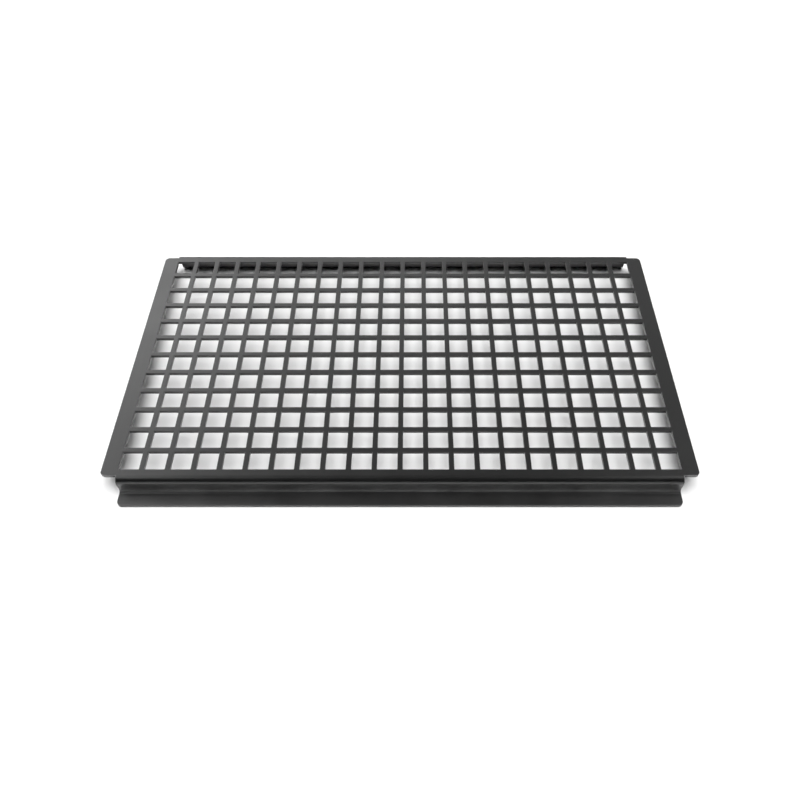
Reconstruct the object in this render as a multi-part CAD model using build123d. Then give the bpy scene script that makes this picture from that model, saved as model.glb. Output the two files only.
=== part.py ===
from build123d import *
import os

# A flat light grid folded from one steel sheet: square apertures on the top face, and along the front and
# rear edges a short wall bent down that ends in a lip bent outward. The lips stand on a surface or sit in rails.
# Millimetres. X is the long way, Y front to rear, Z up. The origin is centred under the grid, level with the
# undersides of the two lips.

# Driving dimensions
SHEET = 2.0  # sheet thickness, coating included
PITCH = 15.0  # centre to centre of the apertures, both ways
APERTURE = 11.9  # clear side of one square aperture
APERTURE_CORNER = 0.3  # small radius left in an aperture's corners
COLUMNS = 22
ROWS = 12
SIDE_MARGIN = 9.8  # plain sheet outside the outer columns
EDGE_MARGIN = 4.05  # plain sheet between the outer rows and the bend lines
FACE_CORNER = 3.0  # corner radius of the face
TAB_OVERHANG = 0.3  # the tabs at the face's ends reach a little past the bend lines
HEIGHT = 13.1  # underside of the lips to the top of the face
BEND_INSIDE = 2.0  # inside radius of all four bends
FLANGE_LENGTH = 328.0  # walls and lips are shorter than the face, which leaves a free tab at each end
LIP_REACH = 9.5  # wall's outer face to the lip's free edge
LIP_CORNER = 3.0  # radius of a lip's free corners

# Worked out from those
FIELD_LENGTH = COLUMNS * PITCH - (PITCH - APERTURE)
FIELD_DEPTH = ROWS * PITCH - (PITCH - APERTURE)
FACE_LENGTH = FIELD_LENGTH + 2 * SIDE_MARGIN
FACE_DEPTH = FIELD_DEPTH + 2 * EDGE_MARGIN
TAB_DEPTH = FACE_DEPTH + 2 * TAB_OVERHANG
BEND_OUTSIDE = BEND_INSIDE + SHEET
BEND_LINE = FACE_DEPTH / 2
WALL_INNER = BEND_LINE + BEND_INSIDE
WALL_OUTER = BEND_LINE + BEND_OUTSIDE
WALL_TOP = HEIGHT - BEND_OUTSIDE
WALL_FOOT = SHEET + BEND_INSIDE
LIP_START = WALL_OUTER + BEND_INSIDE
LIP_EDGE = WALL_OUTER + LIP_REACH


def perforated_face():
    """The flat top of the sheet with its apertures: up to the bend lines, and a little past them at the tabs."""
    outline = RectangleRounded(FACE_LENGTH, TAB_DEPTH, FACE_CORNER)
    outline -= Rectangle(FLANGE_LENGTH, TAB_DEPTH) - Rectangle(FLANGE_LENGTH, FACE_DEPTH)
    aperture = RectangleRounded(APERTURE, APERTURE, APERTURE_CORNER)
    apertures = GridLocations(PITCH, PITCH, COLUMNS, ROWS) * aperture
    return Pos(0, 0, HEIGHT - SHEET) * extrude(outline - apertures, SHEET)


def quarter_bend(centre, start, radius):
    """A quarter arc in the section, counter-clockwise about its centre from the start angle."""
    return CenterArc(centre, radius, start, 90)


def along_flange(section_outline):
    """A section drawn front to rear and upward, drawn out to the flange's length about the middle."""
    section = Plane.YZ * make_face(section_outline)
    return extrude(section, FLANGE_LENGTH / 2, both=True)


def rear_wall():
    """The bend at the face's rear edge and the wall that it turns down into."""
    bend_centre = (BEND_LINE, WALL_TOP)
    return along_flange(
        [
            quarter_bend(bend_centre, 0, BEND_OUTSIDE),
            Line((BEND_LINE, HEIGHT), (BEND_LINE, HEIGHT - SHEET)),
            quarter_bend(bend_centre, 0, BEND_INSIDE),
            Line((WALL_INNER, WALL_TOP), (WALL_INNER, WALL_FOOT)),
            Line((WALL_INNER, WALL_FOOT), (WALL_OUTER, WALL_FOOT)),
            Line((WALL_OUTER, WALL_FOOT), (WALL_OUTER, WALL_TOP)),
        ]
    )


def rear_lip():
    """The bend at the wall's foot and the lip that it turns out into, with rounded free corners."""
    bend_centre = (LIP_START, WALL_FOOT)
    lip = along_flange(
        [
            quarter_bend(bend_centre, 180, BEND_INSIDE),
            Line((LIP_START, SHEET), (LIP_EDGE, SHEET)),
            Line((LIP_EDGE, SHEET), (LIP_EDGE, 0)),
            Line((LIP_EDGE, 0), (LIP_START, 0)),
            quarter_bend(bend_centre, 180, BEND_OUTSIDE),
            Line((WALL_INNER, WALL_FOOT), (WALL_OUTER, WALL_FOOT)),
        ]
    )
    free_corners = lip.edges().filter_by(Axis.Z).group_by(Axis.Y)[-1]
    return fillet(free_corners, LIP_CORNER)


def front(rear_part):
    """The front flange is the rear one turned half round."""
    return Rot(0, 0, 180) * rear_part


def main():
    parts = {
        "perforated_face": perforated_face(),
        "rear_wall": rear_wall(),
        "rear_lip": rear_lip(),
        "front_wall": front(rear_wall()),
        "front_lip": front(rear_lip()),
    }
    os.makedirs("parts", exist_ok=True)
    for name, part in parts.items():
        export_step(part, f"parts/{name}.step")


main()
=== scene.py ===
from math import cos, pi, radians, sin, tan

import bmesh
import bpy
from mathutils import Matrix, Vector


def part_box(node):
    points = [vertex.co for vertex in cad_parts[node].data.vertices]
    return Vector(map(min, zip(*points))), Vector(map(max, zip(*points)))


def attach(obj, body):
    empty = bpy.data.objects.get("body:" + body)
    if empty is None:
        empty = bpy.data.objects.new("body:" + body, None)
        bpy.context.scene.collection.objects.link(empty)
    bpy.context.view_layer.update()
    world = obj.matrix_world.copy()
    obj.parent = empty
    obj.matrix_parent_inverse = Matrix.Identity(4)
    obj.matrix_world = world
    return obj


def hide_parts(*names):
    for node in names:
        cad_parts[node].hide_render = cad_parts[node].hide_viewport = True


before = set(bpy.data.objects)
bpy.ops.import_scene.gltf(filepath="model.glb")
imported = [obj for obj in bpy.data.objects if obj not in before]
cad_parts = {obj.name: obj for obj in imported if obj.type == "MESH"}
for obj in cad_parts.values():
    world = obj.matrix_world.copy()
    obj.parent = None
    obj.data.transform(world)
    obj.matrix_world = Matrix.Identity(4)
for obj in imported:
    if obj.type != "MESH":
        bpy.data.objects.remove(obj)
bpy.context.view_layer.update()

# ---------------------------------------------------------------------------------------------------------
# The sheet, in metres. Everything the frame's boxes can give is read from them.

SHEET = 0.002
PITCH = 0.015
APERTURE = 0.0119
APERTURE_CORNER = 0.0003
COLUMNS = 22
ROWS = 12
FACE_CORNER = 0.003
LIP_CORNER = 0.003

FACE_HALF_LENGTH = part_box("perforated_face")[1].x
TAB_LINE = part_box("perforated_face")[1].y
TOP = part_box("perforated_face")[1].z
FLANGE_HALF_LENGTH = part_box("rear_wall")[1].x
BEND_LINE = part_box("rear_wall")[0].y
WALL_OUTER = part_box("rear_wall")[1].y
WALL_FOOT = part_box("rear_wall")[0].z
LIP_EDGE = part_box("rear_lip")[1].y

# Worked out from those
BEND_OUTSIDE = WALL_OUTER - BEND_LINE
BEND_INSIDE = BEND_OUTSIDE - SHEET
WALL_TOP = TOP - BEND_OUTSIDE
LIP_START = WALL_OUTER + BEND_INSIDE

# How far from the bend line each stretch of the flat sheet ends, measured on the side seen from above
UPPER_BEND = BEND_OUTSIDE * pi / 2
LOWER_BEND = BEND_INSIDE * pi / 2
WALL_END = UPPER_BEND + WALL_TOP - WALL_FOOT
LIP_FLAT = WALL_END + LOWER_BEND
LIP_END = LIP_FLAT + LIP_EDGE - LIP_START

# How the cut edges, the bends and the corners are made
EDGE_RADIUS = 0.00015  # the cut edges are rounded by this much
EDGE_STEPS = 3
EDGE_GUARD = 0.00035  # a narrow strip of flat beside each rounding or bend, which keeps the rest shaded flat
BEND_STEPS = 24
CORNER_STEPS = 8
APERTURE_STEPS = 4


# ---------------------------------------------------------------------------------------------------------
# Shapes

def edge_rings():
    """(inset, depth) of the rings that take the sheet's skin over a rounded cut edge, top side to underside.

    The first ring lies on the flat, a little inside the rounding, and keeps the flat's shading flat.
    """
    rings = [(EDGE_RADIUS + EDGE_GUARD, 0.0)]
    for step in range(EDGE_STEPS + 1):
        angle = pi / 2 * step / EDGE_STEPS
        rings.append((EDGE_RADIUS * (1 - sin(angle)), EDGE_RADIUS * (1 - cos(angle))))
    return rings + [(inset, SHEET - depth) for inset, depth in reversed(rings)]


RINGS = edge_rings()


def arc(centre, radius, start, end, steps):
    """Points of an arc, angles in degrees, both ends included."""
    angles = [radians(start + (end - start) * step / steps) for step in range(steps + 1)]
    return [(centre[0] + radius * cos(a), centre[1] + radius * sin(a)) for a in angles]


def steps_between(start, end, steps):
    """Evenly spaced values, both ends included."""
    return [start + (end - start) * step / steps for step in range(steps + 1)]


def fold(x, along, depth):
    """Where a point of the rear flange's flat blank lies once folded.

    Along is measured from the bend line and depth into the sheet from the side seen from above.
    """
    if along <= UPPER_BEND:
        angle = along / BEND_OUTSIDE
        radius = BEND_OUTSIDE - depth
        return Vector((x, BEND_LINE + radius * sin(angle), WALL_TOP + radius * cos(angle)))
    if along <= WALL_END:
        return Vector((x, WALL_OUTER - depth, WALL_TOP - (along - UPPER_BEND)))
    if along <= LIP_FLAT:
        angle = (along - WALL_END) / BEND_INSIDE
        radius = BEND_INSIDE + depth
        return Vector((x, LIP_START - radius * cos(angle), WALL_FOOT - radius * sin(angle)))
    return Vector((x, LIP_START + along - LIP_FLAT, SHEET - depth))


def new_piece(name, mesh_maker, node):
    """A mesh object made by mesh_maker that rides with the grid and stands for its CAD node."""
    shape = bmesh.new()
    rounding_marks = shape.verts.layers.float.new("edge_rounding")
    mesh_maker(shape, rounding_marks)
    bmesh.ops.recalc_face_normals(shape, faces=shape.faces)
    mesh = bpy.data.meshes.new(name)
    shape.to_mesh(mesh)
    shape.free()
    piece = bpy.data.objects.new(name, mesh)
    bpy.context.scene.collection.objects.link(piece)
    mesh.materials.append(BLACK_COAT)
    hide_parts(node)
    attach(piece, "root")


def add_vertex(shape, rounding_marks, place, ring):
    """A vertex of the given ring. The rings on the rounding are marked for edge wear and its painted
    highlight, the flat ones are not.
    """
    vertex = shape.verts.new(place)
    vertex[rounding_marks] = 0.0 if ring in (0, len(RINGS) - 1) else 1.0
    return vertex


def add_face(shape, corners, smooth=True):
    """A face through the corners. One that is not smooth is flat, with sharp edges round it."""
    face = shape.faces.new(corners)
    face.smooth = smooth
    if not smooth:
        for edge in face.edges:
            edge.smooth = False


def join_rings(shape, rings, open_at=()):
    """Quads between each ring and the next, all the way round but for gaps after the points in open_at."""
    count = len(rings[0])
    for upper, lower in zip(rings, rings[1:]):
        for here in range(count):
            after = (here + 1) % count
            if here not in open_at:
                add_face(shape, (upper[here], upper[after], lower[after], lower[here]))


def flange_piece(side_points, free_edge, turned):
    """A maker for one region of a flange, from its right-hand end to its left-hand end.

    side_points(inset) gives the (x, along) points of the right end, starting at the seam with the region
    before. With free_edge the last points meet along the sheet's cut edge, otherwise they are a second seam.
    """
    turn = Matrix.Rotation(pi if turned else 0.0, 3, "Z")

    def make(shape, rounding_marks):
        right = []
        left = []
        for ring, (inset, depth) in enumerate(RINGS):
            points = side_points(inset)
            right.append([add_vertex(shape, rounding_marks, turn @ fold(x, s, depth), ring) for x, s in points])
            left.append([add_vertex(shape, rounding_marks, turn @ fold(-x, s, depth), ring) for x, s in points])
        last = len(right[0]) - 1
        for skin in (0, -1):
            for here in range(last):
                ends = (right[skin][here], left[skin][here], left[skin][here + 1], right[skin][here + 1])
                add_face(shape, ends)
        if free_edge:
            rims = [right_ring + left_ring[::-1] for right_ring, left_ring in zip(right, left)]
            join_rings(shape, rims, open_at=(2 * last + 1,))
            seams = (0,)
        else:
            join_rings(shape, right, open_at=(last,))
            join_rings(shape, left, open_at=(last,))
            seams = (0, last)
        for seam in seams:
            across = [ring[seam] for ring in right] + [ring[seam] for ring in reversed(left)]
            add_face(shape, across, smooth=False)

    return make


def wall_side(inset):
    """Right-hand end of the wall: round the upper bend and straight down to the foot."""
    rows = steps_between(0.0, UPPER_BEND, BEND_STEPS)
    rows += [UPPER_BEND + EDGE_GUARD, WALL_END - EDGE_GUARD, WALL_END]
    return [(FLANGE_HALF_LENGTH - inset, s) for s in rows]


def lip_side(inset):
    """Right-hand end of the lip: round the lower bend, out along the flat and round the free corner."""
    rows = steps_between(WALL_END, LIP_FLAT, BEND_STEPS) + [LIP_FLAT + EDGE_GUARD]
    ends = [(FLANGE_HALF_LENGTH - inset, s) for s in rows]
    centre = (FLANGE_HALF_LENGTH - LIP_CORNER, LIP_END - LIP_CORNER)
    return ends + arc(centre, LIP_CORNER - inset, 0, 90, CORNER_STEPS)


def face_outline(inset):
    """The face's outline, counter-clockwise. Its long sides are two free tab edges with a seam between."""
    centre = (FACE_HALF_LENGTH - FACE_CORNER, TAB_LINE - FACE_CORNER)
    seam_end = FLANGE_HALF_LENGTH - inset
    right_rear = arc(centre, FACE_CORNER - inset, 0, 90, CORNER_STEPS)
    right_rear += [(seam_end, TAB_LINE - inset), (seam_end, BEND_LINE)]
    left_rear = [(-x, y) for x, y in reversed(right_rear)]
    left_front = [(-x, -y) for x, y in right_rear]
    right_front = [(x, -y) for x, y in reversed(right_rear)]
    return right_rear + left_rear + left_front + right_front


def aperture_outline(centre, inset):
    """A rounded square, counter-clockwise from its right rear corner, grown by the inset."""
    half = APERTURE / 2 - APERTURE_CORNER
    radius = APERTURE_CORNER + inset
    points = []
    for start, (side_x, side_y) in zip((0, 90, 180, 270), ((1, 1), (-1, 1), (-1, -1), (1, -1))):
        corner = (centre[0] + half * side_x, centre[1] + half * side_y)
        points += arc(corner, radius, start, start + 90, APERTURE_STEPS)
    return points


def ring_vertices(shape, rounding_marks, outline):
    """The face's vertices along a cut edge: one row of them for each ring of the rounding."""
    rings = []
    for ring, (inset, depth) in enumerate(RINGS):
        rings.append([add_vertex(shape, rounding_marks, (x, y, TOP - depth), ring) for x, y in outline(inset)])
    return rings


def make_cell(shape, rounding_marks, skins, column, row):
    """One aperture and the sheet round it, out to the lattice points half way to the next apertures."""
    centre = ((column + 0.5 - COLUMNS / 2) * PITCH, (row + 0.5 - ROWS / 2) * PITCH)
    rings = ring_vertices(shape, rounding_marks, lambda inset: aperture_outline(centre, inset))
    join_rings(shape, rings)
    per_corner = APERTURE_STEPS + 1
    for skin, lattice in skins.items():
        corners = (lattice[row + 1][column + 1], lattice[row + 1][column],
                   lattice[row][column], lattice[row][column + 1])
        rim = rings[skin] + rings[skin]  # twice round, so that the last side can run past the end
        for side in range(4):
            first = side * per_corner + APERTURE_STEPS // 2
            inner = rim[first:first + per_corner + 1]
            add_face(shape, [corners[side], corners[(side + 1) % 4]] + inner[::-1])


def make_border(shape, rounding_marks, skins):
    """The plain sheet outside the apertures, with its free cut edges and the seams with the two walls."""
    rings = ring_vertices(shape, rounding_marks, face_outline)
    quarter = len(rings[0]) // 4
    seams = (quarter - 1, 3 * quarter - 1)
    join_rings(shape, rings, open_at=seams)
    for seam in seams:
        across = [ring[seam] for ring in rings] + [ring[seam + 1] for ring in reversed(rings)]
        add_face(shape, across, smooth=False)

    middle = CORNER_STEPS // 2
    right_rear = middle
    left_rear = 2 * quarter - 1 - middle
    left_front = 2 * quarter + middle
    right_front = 4 * quarter - 1 - middle
    for skin, lattice in skins.items():
        rim = rings[skin] + rings[skin]  # twice round, as above
        add_face(shape, rim[right_rear:left_rear + 1] + lattice[-1])
        add_face(shape, rim[left_rear:left_front + 1] + [line[0] for line in lattice])
        add_face(shape, rim[left_front:right_front + 1] + lattice[0][::-1])
        right = rim[right_front:right_rear + 4 * quarter + 1]
        add_face(shape, right + [line[-1] for line in reversed(lattice)])


def make_face(shape, rounding_marks):
    """The perforated face: one cell per aperture, and a plain border out to the sheet's edges."""
    lattice_x = [(column - COLUMNS / 2) * PITCH for column in range(COLUMNS + 1)]
    lattice_y = [(row - ROWS / 2) * PITCH for row in range(ROWS + 1)]
    skins = {}  # the lattice of each side of the sheet, by the ring that it joins: the first or the last
    for skin, z in ((0, TOP), (-1, TOP - SHEET)):
        skins[skin] = [[add_vertex(shape, rounding_marks, (x, y, z), 0) for x in lattice_x] for y in lattice_y]
    for column in range(COLUMNS):
        for row in range(ROWS):
            make_cell(shape, rounding_marks, skins, column, row)
    make_border(shape, rounding_marks, skins)


# ---------------------------------------------------------------------------------------------------------
# Materials

def new_material(name):
    """A material with an empty node tree apart from its shader, and helpers to add nodes and links."""
    material = bpy.data.materials.new(name)
    material.use_nodes = True
    tree = material.node_tree
    shader = tree.nodes["Principled BSDF"]

    def add(kind, inputs=None, **settings):
        node = tree.nodes.new(kind)
        for key, value in settings.items():
            setattr(node, key, value)
        for key, value in (inputs or {}).items():
            if isinstance(value, bpy.types.NodeSocket):
                tree.links.new(value, node.inputs[key])
            else:
                node.inputs[key].default_value = value
        return node

    def link(output, socket):
        tree.links.new(output, socket)

    return material, shader, add, link


def grey(level):
    return (level, level, level, 1)


def position(add):
    """Where a point lies in its object's own metres, which at rest are the frame's."""
    return add("ShaderNodeTexCoord").outputs["Object"]


def component(add, vector, axis):
    """One of a vector's three numbers."""
    return add("ShaderNodeSeparateXYZ", {"Vector": vector}).outputs[axis]


def calculate(add, operation, *values):
    """The result of a sum on one or two values."""
    return add("ShaderNodeMath", dict(enumerate(values)), operation=operation).outputs[0]


def remap(add, value, **limits):
    """The value taken from one range to another and held to its ends. Each range is 0 to 1 unless given."""
    names = {key.replace("_", " ").title(): limit for key, limit in limits.items()}
    return add("ShaderNodeMapRange", {"Value": value, **names}).outputs["Result"]


def blend(add, factor, first, second):
    """The first colour at factor 0 and the second at 1."""
    mix = add("ShaderNodeMix", {"Factor": factor, "A": first, "B": second}, data_type="RGBA")
    return mix.outputs["Result"]


def noise(add, place, **settings):
    """Noise from 0 to 1. The scale is in cells per metre."""
    names = {key.title(): value for key, value in settings.items()}
    return add("ShaderNodeTexNoise", {"Vector": place, **names}).outputs["Fac"]


# Shades of grey, from 0 for black to 1 for white
COAT_TONES = (0.001, 0.003)
# Painted light: the grey that the walls, bends and lips are lifted towards
PAINTED_LIGHT_TONE = 0.25
EDGE_WEAR_AND_HIGHLIGHT_TONE = 0.16  # cut edges where the coat is rubbed, lighter still as a painted highlight where they face sideways or end a tab
FLOOR_TONES = (0.80, 0.82)

# How much painted light the coat gets at each height above the floor: the lips, the crease (left dark as
# painted shade), the walls, the upper bends
PAINTED_LIGHT_AT_HEIGHT = (
    (0.0, 0.052),
    (0.00201, 0.052),
    (0.00206, 0.0),
    (0.0023, 0.0),
    (0.0025, 0.5),
    (0.0038, 0.97),
    (0.0049, 0.85),
    (0.0060, 0.6),
    (0.0072, 0.52),
    (0.0090, 0.5),
    (0.0096, 0.0),
)


def painted_light_by_height(add, place):
    """Painted light: a node output that follows the height table above on the outer side of the walls and on
    the lips.
    """
    level = remap(add, component(add, place, "Z"), from_max=TOP)
    ramp = add("ShaderNodeValToRGB", {"Fac": level})
    stops = ramp.color_ramp.elements
    stops.remove(stops[1])
    stops[0].color = grey(PAINTED_LIGHT_AT_HEIGHT[0][1])
    for height, amount in PAINTED_LIGHT_AT_HEIGHT[1:]:
        stops.new(height / TOP).color = grey(amount)
    # No painted light on the inner side, full painted light on the outer side, turning over inside the
    # wall's thickness
    away = calculate(add, "ABSOLUTE", component(add, place, "Y"))
    outside = remap(add, away, from_min=WALL_OUTER - 0.75 * SHEET, from_max=WALL_OUTER - 0.25 * SHEET)
    return calculate(add, "MULTIPLY", ramp.outputs["Color"], outside)


def wear_and_painted_highlight(add, place):
    """How much a cut is lightened: fully where it faces left or right or ends a tab, barely anywhere else.
    Lightening by facing is a painted highlight of the lit floor on those cuts.
    """
    normal = add("ShaderNodeNewGeometry").outputs["Normal"]
    across = calculate(add, "ABSOLUTE", component(add, normal, "X"))
    side_cuts = remap(add, across, from_min=0.5, to_min=0.1)
    away = calculate(add, "ABSOLUTE", component(add, place, "Y"))
    at_tab = remap(add, away, from_min=TAB_LINE - 0.5 * SHEET, from_max=TAB_LINE - 0.1 * SHEET)
    in_face = remap(add, component(add, place, "Z"), from_min=TOP - 1.1 * SHEET, from_max=TOP - SHEET)
    tab_cuts = calculate(add, "MULTIPLY", at_tab, in_face)
    return calculate(add, "MAXIMUM", side_cuts, tab_cuts)


def black_coat():
    """Satin black powder coat with faint mottle and fine orange peel, painted light on the walls, bends and
    lips, and rubbed cut edges with a painted highlight where they face sideways or end a tab.
    """
    material, shader, add, link = new_material("black_coat")
    place = position(add)
    mottle = noise(add, place, scale=45.0, detail=4.0, roughness=0.6)
    grain = noise(add, place, scale=1500.0, detail=2.0)
    peel = noise(add, place, scale=700.0, detail=3.0, roughness=0.5)

    coat = blend(add, mottle, grey(COAT_TONES[0]), grey(COAT_TONES[1]))
    # Painted light on the walls, bends and lips, following the height table, with the crease left dark as
    # painted shade
    painted_light_amount = calculate(add, "MULTIPLY", painted_light_by_height(add, place), mottle)
    coat_with_painted_light = blend(add, painted_light_amount, coat, grey(PAINTED_LIGHT_TONE))
    edge = add("ShaderNodeAttribute", attribute_name="edge_rounding").outputs["Fac"]
    patches = remap(add, grain, from_min=0.3, from_max=0.7, to_min=0.5)
    worn = calculate(add, "MULTIPLY", edge, patches)
    # Rubbed wear on the rounded cut edges, made into a painted highlight where the cuts face sideways or end
    # a tab
    worn_and_highlit = calculate(add, "MULTIPLY", worn, wear_and_painted_highlight(add, place))
    link(blend(add, worn_and_highlit, coat_with_painted_light, grey(EDGE_WEAR_AND_HIGHLIGHT_TONE)), shader.inputs["Base Color"])

    roughness = remap(add, mottle, from_min=0.3, from_max=0.7, to_min=0.32, to_max=0.36)
    link(roughness, shader.inputs["Roughness"])
    bump = add("ShaderNodeBump", {"Height": peel, "Strength": 0.12, "Distance": 0.00005})
    link(bump.outputs["Normal"], shader.inputs["Normal"])
    shader.inputs["IOR"].default_value = 1.7
    return material


def floor_paint():
    """Matt off-white floor with a barely visible mottle."""
    material, shader, add, link = new_material("floor_paint")
    mottle = noise(add, position(add), scale=6.0, detail=3.0)
    link(blend(add, mottle, grey(FLOOR_TONES[0]), grey(FLOOR_TONES[1])), shader.inputs["Base Color"])
    shader.inputs["Roughness"].default_value = 0.9
    shader.inputs["Specular IOR Level"].default_value = 0.0
    return material


# ---------------------------------------------------------------------------------------------------------
# Studio

CAMERA_PLACE = (0.0078, -0.31005, TOP + 0.35655)
CAMERA_PITCH = 52.61  # degrees below level
CAMERA_LENS = 32.437  # millimetres, as is the sensor's width
CAMERA_SENSOR = 36.0
CAMERA_SHIFT = (-0.01685, -0.00071)  # in widths of the picture
CAMERA_NEAR = 0.01
FLOOR_HALF = 1.4
LIGHT_DISTANCE = 5.0

# Each light's azimuth, elevation, half width and half height in degrees, and its radiance
OVERHEAD = (0, 88, 31, 31, 5.7)
CARDS = {
    "card_left": (-90, 56, 23, 8, 3.6),
    "card_left_rear": (-45, 40, 17, 8, 3.3),
    "card_rear": (-15, 32, 16, 16, 1.25),
    "card_right_rear": (30, 38, 32, 10, 0.70),
    "card_right": (90, 56, 23, 8, 2.7),
    "card_front": (180, 55, 60, 50, 0.05),
    "card_top": (0, 55, 60, 50, 0.09),
}


def make_camera():
    data = bpy.data.cameras.new("camera")
    data.sensor_width = CAMERA_SENSOR
    data.lens = CAMERA_LENS
    data.shift_x, data.shift_y = CAMERA_SHIFT
    data.clip_start = CAMERA_NEAR
    camera = bpy.data.objects.new("camera", data)
    camera.location = CAMERA_PLACE
    camera.rotation_euler = (radians(90 - CAMERA_PITCH), 0, 0)
    bpy.context.scene.collection.objects.link(camera)
    bpy.context.scene.camera = camera


def make_floor():
    corners = [(x * FLOOR_HALF, y * FLOOR_HALF, 0) for x, y in ((-1, -1), (1, -1), (1, 1), (-1, 1))]
    mesh = bpy.data.meshes.new("floor")
    mesh.from_pydata(corners, [], [(0, 1, 2, 3)])
    mesh.materials.append(floor_paint())
    floor = bpy.data.objects.new("floor", mesh)
    bpy.context.scene.collection.objects.link(floor)


def softbox(name, azimuth, elevation, half_width, half_height, radiance, shape="RECTANGLE"):
    """A soft light that faces the grid from the given direction.

    Azimuth 0 is straight behind the grid and 90 is to its right. Radiance is what a mirror would show of it.
    """
    width = 2 * LIGHT_DISTANCE * tan(radians(half_width))
    height = 2 * LIGHT_DISTANCE * tan(radians(half_height))
    filled = pi / 4 if shape == "ELLIPSE" else 1.0
    data = bpy.data.lights.new(name, "AREA")
    data.shape = shape
    data.size = width
    data.size_y = height
    data.energy = radiance * pi * width * height * filled
    away = Vector((sin(radians(azimuth)), cos(radians(azimuth)), 0)) * cos(radians(elevation))
    away.z = sin(radians(elevation))
    light = bpy.data.objects.new(name, data)
    light.location = away * LIGHT_DISTANCE
    light.rotation_euler = (-away).to_track_quat("-Z", "Y").to_euler()
    light.visible_camera = False
    bpy.context.scene.collection.objects.link(light)
    return light


def make_lights():
    """One overhead softbox lights everything, and the cards are there only for the coat to reflect."""
    overhead = softbox("overhead", *OVERHEAD, shape="ELLIPSE")
    overhead.visible_glossy = False
    for name, card_settings in CARDS.items():
        card = softbox(name, *card_settings)
        card.visible_diffuse = False


def make_world():
    """A white background for the camera alone. It lights nothing and nothing reflects it."""
    world = bpy.data.worlds.new("world")
    world.use_nodes = True
    world.node_tree.nodes["Background"].inputs["Color"].default_value = grey(1)
    world.cycles_visibility.diffuse = False
    world.cycles_visibility.glossy = False
    bpy.context.scene.world = world
    bpy.context.scene.view_settings.view_transform = "Standard"


BLACK_COAT = black_coat()
make_camera()
new_piece("grid_face", make_face, "perforated_face")
for side, turned in (("rear", False), ("front", True)):
    new_piece(side + "_wall_folded", flange_piece(wall_side, False, turned), side + "_wall")
    new_piece(side + "_lip_folded", flange_piece(lip_side, True, turned), side + "_lip")
make_floor()
make_lights()
make_world()
